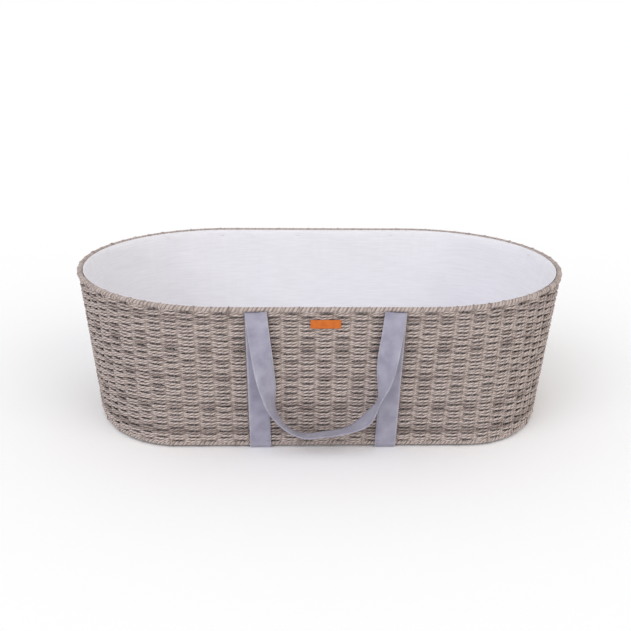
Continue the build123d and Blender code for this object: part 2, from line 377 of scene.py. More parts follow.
def paper_rope(name, turns, light, dark):
    """Kraft paper twisted into two-ply rope: matt, with fine fibres and a bumped helical twist
    whose hollows carry painted shade.
    """
    material, shader = start_material(name, Roughness=0.82, Specular_IOR_Level=0.25)
    split = map_axes(material)
    along = add_node(material, "Math", {"operation": "MULTIPLY", 1: turns}, {0: split[0]})
    around = add_node(material, "Math", {"operation": "MULTIPLY", 1: 2.0}, {0: split[1]})
    phase = add_node(material, "Math", {"operation": "ADD"}, {0: along, 1: around})
    wave = add_node(material, "Math", {"operation": "MULTIPLY", 1: 2 * math.pi}, {0: phase})
    sine = add_node(material, "Math", {"operation": "SINE"}, {0: wave})
    ply = add_node(material, "Math", {"operation": "MULTIPLY_ADD", 1: 0.5, 2: 0.5}, {0: sine})
    place = add_node(material, "TexCoord").outputs["Object"]
    fibre = add_node(material, "TexNoise", {"Scale": 900.0, "Detail": 3.0}, {"Vector": place})
    mottle = add_node(material, "TexNoise", {"Scale": 28.0, "Detail": 2.0}, {"Vector": place})
    tint = add_node(material, "Attribute", {"attribute_name": "tint"})
    mixed = add_node(
        material,
        "Math",
        {"operation": "MULTIPLY_ADD", 1: 0.5},
        {0: mottle.outputs["Fac"], 2: tint.outputs["Fac"]},
    )
    body = ramp(material, mixed, [(0.2, dark), (1.1 / 1.5, light)])
    # Painted shade: the colour darkens along the hollows between the two plies.
    groove_shade = ramp(material, ply, [(0.0, srgb("#b9b2ae")), (0.55, srgb("#ffffff"))])
    colour = add_node(material, "Mix", MULTIPLY_COLOUR, {6: body, 7: groove_shade})
    connect(material, colour.outputs[2], shader, "Base Color")
    height = add_node(
        material, "Math", {"operation": "MULTIPLY_ADD", 1: 0.25}, {0: fibre.outputs["Fac"], 2: ply}
    )
    add_bump(material, shader, height, 0.0006)
    return material


def map_axes(material):
    """Outputs of the UV map's two directions, across and along."""
    uv = add_node(material, "UVMap", {"uv_map": "UVMap"}).outputs["UV"]
    return add_node(material, "SeparateXYZ", links={0: uv}).outputs


def thread_wave(material, coordinate, spacing):
    """Rounded threads, 0 to 1, across one coordinate in metres."""
    settings = {"operation": "MULTIPLY", 1: math.pi / spacing}
    turn = add_node(material, "Math", settings, {0: coordinate})
    sine = add_node(material, "Math", {"operation": "SINE"}, {0: turn})
    return add_node(material, "Math", {"operation": "ABSOLUTE"}, {0: sine})


def thread_slubs(material, place, scale):
    """Short streaks where a thread is thicker, 0 to 1, long where the scale is small."""
    streak = add_node(material, "Mapping", {"Scale": scale}, {"Vector": place})
    noise = add_node(material, "TexNoise", {"Scale": 1.0, "Detail": 3.0}, {"Vector": streak})
    return noise.outputs["Fac"]


def plain_cotton(name, colour, shade, spacing):
    """Plain-weave cotton: matt white with a crossed thread texture and faint slubs."""
    material, shader = start_material(
        name, Roughness=0.9, Sheen_Weight=0.25, Sheen_Roughness=0.5, Specular_IOR_Level=0.2
    )
    split = map_axes(material)
    warp = thread_wave(material, split[0], spacing)
    weft = thread_wave(material, split[1], spacing)
    weave = add_node(material, "Math", {"operation": "MULTIPLY"}, {0: warp, 1: weft})
    place = add_node(material, "TexCoord").outputs["Object"]
    slub = thread_slubs(material, place, (30.0, 30.0, 420.0))
    total = add_node(material, "Math", {"operation": "MULTIPLY_ADD", 1: 0.6}, {0: slub, 2: weave})
    tone = ramp(material, slub, [(0.3, shade), (0.65, colour)])
    connect(material, tone, shader, "Base Color")
    add_bump(material, shader, total, 0.0003, 0.6)
    return material


def cotton_webbing(name, colour, edge):
    """Woven cotton webbing: ribs along its length, crossing picks with painted shade between the
    threads, and paler selvedges.
    """
    material, shader = start_material(
        name, Roughness=0.88, Sheen_Weight=0.3, Sheen_Roughness=0.5, Specular_IOR_Level=0.2
    )
    split = map_axes(material)
    ribs = thread_wave(material, split[0], 0.0011)
    picks = thread_wave(material, split[1], 0.0009)
    weave = add_node(material, "Math", {"operation": "MULTIPLY_ADD", 1: 0.6}, {0: picks, 2: ribs})
    settings = {"operation": "SUBTRACT", 1: WEBBING_WIDTH / 2}
    centred = add_node(material, "Math", settings, {0: split[0]})
    distance = add_node(material, "Math", {"operation": "ABSOLUTE"}, {0: centred})
    settings = {"operation": "DIVIDE", 1: WEBBING_WIDTH / 2}
    share = add_node(material, "Math", settings, {0: distance})
    place = add_node(material, "TexCoord").outputs["Object"]
    wear = add_node(material, "TexNoise", {"Scale": 45.0, "Detail": 5.0}, {"Vector": place})
    stripe = ramp(material, share, [(0.86, colour), (0.93, edge)])
    soil = ramp(material, wear.outputs["Fac"], [(0.3, srgb("#dcdae0")), (0.7, srgb("#ffffff"))])
    # Painted shade: the colour darkens between the ribs and picks.
    thread_shade = ramp(material, weave, [(0.1, srgb("#d2d0d8")), (0.9, srgb("#ffffff"))])
    worn = add_node(material, "Mix", MULTIPLY_COLOUR, {6: stripe, 7: soil})
    final = add_node(material, "Mix", MULTIPLY_COLOUR, {6: worn.outputs[2], 7: thread_shade})
    connect(material, final.outputs[2], shader, "Base Color")
    add_bump(material, shader, weave, 0.0003)
    return material


def tanned_leather(name, colour, shade):
    """Vegetable-tanned leather: satin, with a fine pebble grain and a cloudy tone."""
    material, shader = start_material(name, Roughness=0.5, Specular_IOR_Level=0.45)
    place = add_node(material, "TexCoord").outputs["Object"]
    grain = add_node(material, "TexVoronoi", {"Scale": 1400.0, "feature": "F1"}, {"Vector": place})
    cloud = add_node(material, "TexNoise", {"Scale": 120.0, "Detail": 4.0}, {"Vector": place})
    tone = ramp(material, cloud.outputs["Fac"], [(0.3, shade), (0.65, colour)])
    connect(material, tone, shader, "Base Color")
    add_bump(material, shader, grain.outputs["Distance"], 0.0002, 0.5)
    return material


def drawn_wire(name):
    """Plain drawn steel wire: dull metal with faint lengthwise streaks."""
    material, shader = start_material(name, Metallic=1.0, Base_Color=(*srgb("#7d7c7c"), 1))
    place = add_node(material, "TexCoord").outputs["Object"]
    stretch = add_node(material, "Mapping", {"Scale": (900.0, 900.0, 25.0)}, {"Vector": place})
    streak = add_node(material, "TexNoise", {"Detail": 3.0}, {"Vector": stretch})
    rough = add_node(
        material, "MapRange", {"To Min": 0.35, "To Max": 0.6}, {"Value": streak.outputs["Fac"]}
    )
    connect(material, rough.outputs["Result"], shader, "Roughness")
    return material


def open_cell_foam(name):
    """Cut polyurethane foam: off-white with small open cells."""
    material, shader = start_material(name, Roughness=0.95, Base_Color=(*srgb("#efeee2"), 1))
    place = add_node(material, "TexCoord").outputs["Object"]
    cells = add_node(material, "TexVoronoi", {"Scale": 1000.0}, {"Vector": place})
    add_bump(material, shader, cells.outputs["Distance"], 0.0006)
    return material


def sewing_thread(name, colour):
    """Two-ply cotton sewing thread: matt with a fine twist."""
    material, shader = start_material(name, Roughness=0.8, Base_Color=(*colour, 1))
    place = add_node(material, "TexCoord").outputs["Object"]
    twist = add_node(material, "TexNoise", {"Scale": 2500.0}, {"Vector": place})
    add_bump(material, shader, twist.outputs["Fac"], 0.0002)
    return material


# ---------------------------------------------------------------- settings


def length_setting(name, description, metres):
    """Setting for a length in metres."""
    return FloatProperty(name=name, description=description, default=metres, unit="LENGTH")


def colour_setting(name, description, code):
    """Setting for a colour that starts from an sRGB hex value."""
    return FloatVectorProperty(
        name=name, description=description, default=srgb(code), subtype="COLOR"
    )


class BasketWeave(bpy.types.PropertyGroup):
    """Sizes of the paper rope and of its weave."""

    row_pitch: length_setting("Row pitch", "Height of one row", 0.00585)
    rope_radius: length_setting("Rope radius", "Radius of one rope", 0.0021)
    pair_gap: length_setting("Pair gap", "Between a row's two ropes", 0.0039)
    depth: length_setting("Depth", "Weave's middle from the outline", 0.0046)
    swing: length_setting("Swing", "Reach of a row from a stake", 0.0033)
    steps: IntProperty(name="Steps", description="Points between two stakes", default=8)
    rows_per_band: IntProperty(name="Rows per band", description="Rows in one piece", default=6)
    light: colour_setting("Light rope", "Palest rope", "#c5b8b2")
    dark: colour_setting("Dark rope", "Darkest rope", "#938681")


class BasketCloth(bpy.types.PropertyGroup):
    """Sizes and colours of the liner, the webbing and the tag."""

    webbing: colour_setting("Webbing", "Straps and handles", "#b4b2c2")
    selvedge: colour_setting("Selvedge", "Edges of webbing", "#c8c6d2")
    webbing_thickness: length_setting("Webbing thickness", "Of straps and handles", 0.0016)
    liner: colour_setting("Liner", "Liner cotton", "#edecf0")
    liner_thickness: length_setting("Liner thickness", "Thickness of the liner", 0.0008)
    leather: colour_setting("Leather", "Colour of the tag", "#cb6a14")


class BasketStage(bpy.types.PropertyGroup):
    """Camera and light."""

    azimuth: FloatProperty(
        name="Azimuth", description="Of the camera", default=math.radians(-2.42), subtype="ANGLE"
    )
    elevation: FloatProperty(
        name="Elevation", description="Of the camera", default=math.radians(21.83), subtype="ANGLE"
    )
    roll: FloatProperty(
        name="Roll", description="Of the camera", default=math.radians(0.86), subtype="ANGLE"
    )
    distance: length_setting("Distance", "Camera to basket", 2.2)
    lens: FloatProperty(name="Lens", description="Focal length in mm", default=70.1)
    key: FloatProperty(name="Key light", description="Strength of the left light", default=1.0)
    fill: FloatProperty(name="Fill light", description="Strength of the right light", default=0.6)
    air: FloatProperty(name="Air", description="Strength of the light from all round", default=0.77)


# ---------------------------------------------------------------- rope pieces


def rope_material(kind, turns):
    """The basket's paper rope, with its twist set for one rope length."""
    weave = bpy.context.scene.basket_weave
    return paper_rope(f"twisted_paper_rope_{kind}", turns, tuple(weave.light), tuple(weave.dark))


class BASKET_OT_wall_weave(bpy.types.Operator):
    """Weaves the wall: pairs of paper ropes that pass in front of one stake and behind the next"""

    bl_idname = "basket.wall_weave"
    bl_label = "Wall Weave"

    def row_lines(self, weave, grid, random, row, z):
        """The two ropes of one row."""
        count = len(grid.stake)
        swing = np.cos(math.pi * (grid.stake + row))
        reach = np.sign(swing) * np.abs(swing) ** 0.7
        gap = weave.pair_gap * (0.86 + 0.42 * swing)
        loose = 1.0 + slow_wave(random, count, 24, 0.05)
        lines = []
        for side in (-0.5, 0.5):
            height = z + side * gap * loose + slow_wave(random, count, 40, 0.00055)
            depth = weave.depth - weave.swing * reach + slow_wave(random, count, 50, 0.0004)
            lines.append(grid.ring(height, depth))
        return lines

    def execute(self, context):
        weave = context.scene.basket_weave
        grid = WallGrid(weave.steps)
        random = np.random.default_rng(SEED)
        low = BASE_HIGH.z + weave.pair_gap / 2
        high = RIM_LOW.z - weave.pair_gap / 2
        rows = round((high - low) / weave.row_pitch)
        heights = np.linspace(low, high, rows)
        material = rope_material("wall", 230.0)
        bands = []
        for first in range(0, rows, weave.rows_per_band):
            lines = []
            for row in range(first, min(first + weave.rows_per_band, rows)):
                lines += self.row_lines(weave, grid, random, row, heights[row])
            mesh = rope_mesh("wall_weave", lines, weave.rope_radius, tint_random=random)
            band = add_object(f"wall_weave_{len(bands) + 1}", mesh, "basket")
            band.data.materials.append(material)
            bands.append(band)
        for band in bands:
            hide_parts("woven_wall")
        return {"FINISHED"}


class BASKET_OT_base_weave(bpy.types.Operator):
    """Weaves the base: ropes along the basket, over and under the cross wires"""

    bl_idname = "basket.base_weave"
    bl_label = "Base Weave"

    def execute(self, context):
        weave = context.scene.basket_weave
        middle = (PLATE_LOW.z + PLATE_HIGH.z) / 2
        half_straight, half_length, half_width = outline_at(middle, BASE_HIGH.y - PLATE_HIGH.y)
        count = int(2 * half_width / weave.row_pitch)
        step, swing, radius = 0.004, 0.0019, 0.00235
        lines = []
        for row in range(count):
            y = (row - (count - 1) / 2) * weave.row_pitch
            end = (half_length - half_straight) * math.sqrt(max(0.0, 1 - (y / half_width) ** 2))
            reach = half_straight + end
            x = np.linspace(-reach, reach, int(2 * reach / step))
            z = middle + swing * np.cos(math.pi * (x / CROSS_WIRE_SPACING + row))
            lines.append(np.column_stack([x, np.full(len(x), y), z]))
        mesh = rope_mesh("base_weave", lines, radius, closed=False)
        rope = rope_material("base", 80.0)
        add_piece("base_weave", mesh, "basket", rope, "woven_base")
        return {"FINISHED"}


def laid_border(name, sizes, z, strands, strand_radius, lay_radius, pitch):
    """Rope of several strands laid round the whole outline, as one mesh."""
    rough = even_loop(sizes, 2000)
    length = float(np.hypot(*(np.roll(rough, -1, axis=0) - rough).T).sum())
    turns = round(length / pitch)
    points_per_turn = 13
    count = turns * points_per_turn
    loop = even_loop(sizes, count)
    out = outward(loop)
    angle = np.arange(count) / count * turns * 2 * math.pi
    lines = []
    for strand in range(strands):
        turn = angle + strand * 2 * math.pi / strands
        flat = loop + out * (lay_radius * np.cos(turn))[:, None]
        lines.append(np.column_stack([flat, z + lay_radius * np.sin(turn)]))
    return rope_mesh(name, lines, strand_radius, sides=2)


def binding_lines(sizes, z, tall, radius, count, shift, drop):
    """Cord loops round a border, clear of the straps; tall ones reach into the wall by drop."""
    loop = even_loop(sizes, STAKES * 8)
    out = outward(loop)
    lines = []
    for index in range(count):
        place = int((index + shift) / count * len(loop)) % len(loop)
        point = loop[place]
        on_strap = abs(abs(point[0]) - (STRAP_X_TOP + STRAP_X_GROUND) / 2) < 0.026
        if on_strap and abs(point[1]) > sizes[2] / 2:
            continue
        turn = np.linspace(0, 2 * math.pi, 18, endpoint=False)
        reach = radius * np.cos(turn)
        height = radius * np.sin(turn)
        stretched = np.clip(-np.sign(drop) * height / radius, 0, 1) * tall
        height = height - stretched * drop
        reach = reach - stretched * (0.0035 if drop > 0 else 0.0)
        flat = point + out[place] * reach[:, None]
        lines.append(np.column_stack([flat, z + height]))
    return lines


class BASKET_OT_rim_border(bpy.types.Operator):
    """Makes the rim's laid rope border and the cord loops that bind it to the wall"""

    bl_idname = "basket.rim_border"
    bl_label = "Rim Border"

    def execute(self, context):
        z = (RIM_LOW.z + RIM_HIGH.z) / 2
        radius = (RIM_HIGH.z - RIM_LOW.z) / 2
        sizes = outline_at(TOP_Z, radius - RIM_PROUD)
        lay = radius - STRAND_RADIUS - 0.0006
        mesh = laid_border("rim_rope_laid", sizes, z, 4, STRAND_RADIUS, lay, pitch=0.0145)
        rope = rope_material("rim", 230.0)
        add_piece("rim_rope_laid", mesh, "basket", rope, "rim_rope")
        count = STAKES // 2
        tall = binding_lines(sizes, z, 1.0, radius - 0.0006, count, shift=0.25, drop=0.008)
        short = binding_lines(sizes, z, 0.0, radius - 0.0010, count, shift=0.75, drop=0.0)
        mesh = rope_mesh("rim_binding", tall + short, radius=0.0012)
        cord = rope_material("rim_binding", 4.0)
        add_piece("rim_binding", mesh, "basket", cord, "rim_binding_loops")
        return {"FINISHED"}


class BASKET_OT_base_border(bpy.types.Operator):
    """Makes the base's laid rope border and its cord loops"""

    bl_idname = "basket.base_border"
    bl_label = "Base Border"

    def execute(self, context):
        z = (BASE_LOW.z + BASE_HIGH.z) / 2
        radius = (BASE_HIGH.z - BASE_LOW.z) / 2
        sizes = outline_at(z, radius)
        lay = radius - STRAND_RADIUS
        mesh = laid_border("base_rope_laid", sizes, z, 3, STRAND_RADIUS, lay, pitch=0.0165)
        rope = rope_material("border", 220.0)
        add_piece("base_rope_laid", mesh, "basket", rope, "base_rope")
        count = STAKES // 2
        lines = binding_lines(sizes, z, 1.0, radius + 0.0006, count, shift=0.25, drop=-0.006)
        mesh = rope_mesh("base_binding", lines, radius=0.0009)
        cord = rope_material("base_binding", 4.0)
        add_piece("base_binding", mesh, "basket", cord, "base_binding_loops")
        return {"FINISHED"}


# ---------------------------------------------------------------- cloth pieces


class BASKET_OT_liner(bpy.types.Operator):
    """Makes the cotton liner: a gathered wall cloth, a hem tucked under the rim, and a floor"""

    bl_idname = "basket.liner"
    bl_label = "Liner"

    def ring_cloth(self, name, rings, size):
        """Closed cloth mesh through rings of points, the lowest first."""
        columns, rows = len(rings[0]), len(rings) - 1

        def place(across, along):
            return rings[round(along * rows)][round(across * columns) % columns]

        return cloth_grid(name, columns, rows, place, size, closed=True)

    def hang(self, mesh, material, thickness, node, **sheet):
        """Object of a cloth mesh in place of a CAD node, with its material and thickness; the sheet
        facts are not used.
        """
        piece = add_object(mesh.name, mesh, "basket")
        piece.data.materials.append(material)
        thicken(piece, thickness)
        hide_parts(node)

    def wall(self, material, thickness):
        """The wall cloth, from under the rim down to the floor."""
        rows = 44
        grid = WallGrid(6)
        random = np.random.default_rng(SEED + 1)
        count = len(grid.stake)
        waves = ((60, 0.0007), (22, 0.0014))
        pucker = [slow_wave(random, count, cycles, size) for cycles, size in waves]
        drift = slow_wave(random, count, 9, 0.0018)
        top = TOP_Z - 0.0035
        low = LINER_HIGH.z - thickness
        rings = []
        for row in range(rows + 1):
            share = row / rows
            z = low + (top - low) * share
            near_top = share**40
            sag = math.sin(math.pi * share)
            wave = pucker[0] * (0.4 + 1.2 * near_top) + (pucker[1] + drift) * sag
            wave = wave + 0.0006 * np.roll(drift, row * 3) / 0.0018
            depth = WALL_CLOTH_DEPTH + np.clip(wave, -0.0012, 0.004) - 0.0026 * near_top
            rings.append(grid.ring(z, depth))
        size = (WALL_CLOTH_LENGTH, top - low)
        mesh = self.ring_cloth("liner_wall_cloth", rings, size)
        facts = {"flat": size, "held": "hung", "rests_on": ["rim_rope_laid"]}
        self.hang(mesh, material, thickness, "liner_wall", **facts)

    def hem(self, material, thickness):
        """The hem, turned over behind the wall cloth and tucked under the rim."""
        rows = 6
        grid = WallGrid(6)
        random = np.random.default_rng(SEED + 2)
        wave = slow_wave(random, len(grid.stake), 60, 0.0004)
        rings = []
        for row in range(rows + 1):
            share = row / rows
            z = TOP_Z - HEM_DROP + HEM_HEIGHT * share
            rings.append(grid.ring(z, HEM_DEPTH + 0.4 * wave - 0.0022 * share**4))
        mesh = self.ring_cloth("liner_hem_cloth", rings, HEM_FLAT)
        facts = {"flat": HEM_FLAT, "held": "hung", "rests_on": ["rim_rope_laid"]}
        self.hang(mesh, material, thickness, "liner_hem", **facts)

    def floor(self, material, thickness):
        """The floor cloth, flat on the woven base."""
        z = LINER_HIGH.z - thickness / 2
        sizes = outline_at(z, FLOOR_CLOTH_DEPTH)
        columns, rows = 128, 24
        loop = even_loop(sizes, columns)
        random = np.random.default_rng(SEED + 3)
        wave = slow_wave(random, columns, 7, 0.0003)

        def place(across, along):
            column = round(across * columns) % columns
            reach = 1 - along
            return (*(loop[column] * reach), z + wave[column] * math.sin(math.pi * reach))

        size = (2 * sizes[2], 2 * sizes[1])
        mesh = cloth_grid("liner_floor_cloth", columns, rows, place, size, closed=True)
        layer = mesh.uv_layers["UVMap"]
        for loop_index, corner in enumerate(mesh.loops):
            layer.data[loop_index].uv = mesh.vertices[corner.vertex_index].co.xy
        area = 4 * sizes[0] * sizes[2] + math.pi * (sizes[1] - sizes[0]) * sizes[2]
        facts = {"flat": size, "held": "laid", "rests_on": ["base_weave"], "area": area}
        self.hang(mesh, material, thickness, "liner_floor", **facts)

    def execute(self, context):
        cloth = context.scene.basket_cloth
        material = plain_cotton("muslin_liner", tuple(cloth.liner), srgb("#e7e6ea"), 0.0009)
        self.wall(material, cloth.liner_thickness)
        self.hem(material, cloth.liner_thickness)
        self.floor(material, cloth.liner_thickness)
        return {"FINISHED"}


def webbing_material(cloth):
    """The webbing's material, shared by the straps and the handles."""
    made = bpy.data.materials.get("cotton_webbing")
    return made or cotton_webbing("cotton_webbing", tuple(cloth.webbing), tuple(cloth.selvedge))


def ribbon(name, line, across_at, material):
    """Webbing along a line; across_at(share) gives the direction of its width."""
    columns, rows = 8, len(line) - 1
    length = line_length(line)

    def place(across, along):
        row = round(along * rows)
        offset = (across - 0.5) * WEBBING_WIDTH
        return Vector(line[row]) + Vector(across_at(along)) * offset

    mesh = cloth_grid(name, columns, rows, place, (WEBBING_WIDTH, length))
    mesh.materials.append(material)
    return mesh, length


def handle_line():
    """Middle line of the front handle, from its left fold to its right fold."""
    half_span = HANDLE_HIGH.x - WEBBING_WIDTH / 2
    low = FOLD.z - HANDLE_DROP
    shares = [
        (-1.0, 1.0),
        (-0.93, 0.72),
        (-0.83, 0.40),
        (-0.70, 0.16),
        (-0.38, 0.01),
        (0.0, 0.01),
        (0.45, 0.07),
        (0.72, 0.20),
        (0.83, 0.38),
        (0.93, 0.72),
        (1.0, 1.0),
    ]
    controls = [Vector((x * half_span, FOLD.y, low + up * HANDLE_DROP)) for x, up in shares]
    tuck = Vector((0, 0, 0.004))
    return smooth_line([controls[0] + tuck] + controls[1:-1] + [controls[-1] + tuck], 121)


def handle_turn(share):
    """How far the band has turned: flat at its folds, nearly edge on along the bottom."""
    places = (0.0, 0.10, 0.24, 0.33, 0.40, 0.58, 0.65, 0.71, 0.80, 0.90, 1.0)
    degrees = (0, 0, -38, -84, -101, -99, -74, -98, -42, 0, 0)
    return math.radians(float(np.interp(share, places, degrees)))


class BASKET_OT_handles(bpy.types.Operator):
    """Makes the two webbing loop handles, which hang down from their folds below the rim"""

    bl_idname = "basket.handles"
    bl_label = "Handles"

    def execute(self, context):
        cloth = context.scene.basket_cloth
        material = webbing_material(cloth)
        line = handle_line()
        along = np.gradient(line, axis=0)
        along /= np.linalg.norm(along, axis=1)[:, None]

        def across_at(share):
            direction = Vector(along[round(share * (len(line) - 1))])
            level = direction.cross(Vector((0, 1, 0))).normalized()
            turn = sum(handle_turn(share + off) for off in (-0.02, -0.01, 0, 0.01, 0.02)) / 5
            return level * math.cos(turn) + Vector((0, -1, 0)) * math.sin(turn)

        for name, body, turned in (("front", "handle_front", False), ("back", "handle_back", True)):
            mesh, length = ribbon(f"{name}_handle_band", line, across_at, material)
            fold = FOLD.copy()
            if turned:
                mesh.transform(Matrix.Rotation(math.pi, 4, "Z"))
                fold.y = -fold.y
            piece = add_object(f"{name}_handle_band", mesh)
            thicken(piece, cloth.webbing_thickness)
            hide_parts(body)
            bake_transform(piece)
        return {"FINISHED"}


class BASKET_OT_straps(bpy.types.Operator):
    """Makes the two straps, from the rim down the front, under the base and up the back"""

    bl_idname = "basket.straps"
    bl_label = "Straps"

    def profile(self, hand):
        """Line of one strap's middle, front rim to back rim."""
        lift, under = 0.0012, 0.0009
        top = FOLD.z + 0.003
        points = []
        for z in np.linspace(top, 0.004, 30):
            x = STRAP_X_GROUND + (STRAP_X_TOP - STRAP_X_GROUND) * z / TOP_Z
            points.append((hand * x, -(outline_at(z)[2] + lift), z))
        ground = outline_at(0)[2]
        x = hand * STRAP_X_GROUND
        points += [(x, -ground, 0.0017), (x, -ground + 0.004, under)]
        points += [(x, y, under) for y in np.linspace(-ground + 0.012, 0, 12)]
        back = [(px, -py, pz) for px, py, pz in reversed(points[:-1])]
        return even_line(points + back, 150)

    def execute(self, context):
        cloth = context.scene.basket_cloth
        material = webbing_material(cloth)
        for name, hand in (("strap_left", -1), ("strap_right", 1)):
            line = self.profile(hand)
            mesh, length = ribbon(f"{name}_band", line, lambda share: (1, 0, 0), material)
            piece = add_object(f"{name}_band", mesh, "basket")
            thicken(piece, cloth.webbing_thickness)
            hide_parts(name)
        self.tacks()
        return {"FINISHED"}

    def tacks(self):
        """Bar tacks near the foot of each strap, front and back."""
        z, half_spread, spacing = 0.014, 0.0125, 0.0007
        x_middle = STRAP_X_GROUND + (STRAP_X_TOP - STRAP_X_GROUND) * z / TOP_Z
        lines = []
        for side in (-1, 1):
            y = side * (outline_at(z)[2] + 0.0020)
            for x in (x_middle, -x_middle):
                for off in (-half_spread, half_spread):
                    middles = [Vector((x + off, y, z + step * spacing)) for step in (-1, 0, 1)]
                    lines += stitch_lines(middles, Vector((1, 0, 0)), (0, side * 0.0005, 0), 0.005)
        mesh = rope_mesh("strap_tack_threads", lines, radius=0.0003, closed=False)
        thread = sewing_thread("cotton_sewing_thread", srgb("#a3a2b2"))
        add_piece("strap_tack_threads", mesh, "basket", thread, "strap_tacks")


class BASKET_OT_tag(bpy.types.Operator):
    """Makes the blank leather tag with rounded edges, and its stitches"""

    bl_idname = "basket.tag"
    bl_label = "Leather Tag"

    def execute(self, context):
        cloth = context.scene.basket_cloth
        middle = (TAG_LOW + TAG_HIGH) / 2
        lean = math.atan2(RIM_OUTLINE[2] - GROUND_OUTLINE[2], TOP_Z)
        stand = Matrix.Translation(middle) @ Matrix.Rotation(math.pi / 2 + lean, 4, "X")
        bm = bmesh.new()
        bmesh.ops.create_cube(bm, size=1.0)
        bmesh.ops.scale(bm, vec=TAG_SIZE, verts=bm.verts)
        upright = [edge for edge in bm.edges if abs(edge.verts[0].co.z - edge.verts[1].co.z) > 1e-4]
        bmesh.ops.bevel(
            bm, geom=upright, offset=0.0016, affect="EDGES", segments=5, profile=0.5, material=-1
        )
        level = [face for face in bm.faces if abs(face.normal.z) > 0.9]
        rims = [edge for face in level for edge in face.edges]
        bmesh.ops.bevel(
            bm, geom=rims, offset=0.0005, affect="EDGES", segments=3, profile=0.5, material=-1
        )
        bmesh.ops.transform(bm, matrix=stand, verts=bm.verts)
        mesh = finished_mesh(bm, "tag_leather_plate")
        mesh.shade_smooth()
        leather = tanned_leather("tanned_leather", tuple(cloth.leather), srgb("#bb5c0e"))
        add_piece("tag_leather_plate", mesh, "basket", leather, "leather_tag")
        self.stitches(stand)
        return {"FINISHED"}

    def stitches(self, stand):
        """Stitches along both ends of the tag."""
        turn = stand.to_3x3()
        up, out = turn @ Vector((0, 1, 0)), turn @ Vector((0, 0, 1))
        end, face = 0.0222, TAG_SIZE[2] / 2
        middles = []
        for x in (-end, end):
            for y in (-0.0045, -0.0015, 0.0015, 0.0045):
                middles.append(stand @ Vector((x, y, face)))
        lines = stitch_lines(middles, up, out * 0.0004, 0.0024)
        mesh = rope_mesh("tag_stitch_threads", lines, radius=0.00028, closed=False)
        thread = sewing_thread("linen_tag_thread", srgb("#c9772f"))
        add_piece("tag_stitch_threads", mesh, "basket", thread, "tag_stitches")


# ---------------------------------------------------------------- mattress


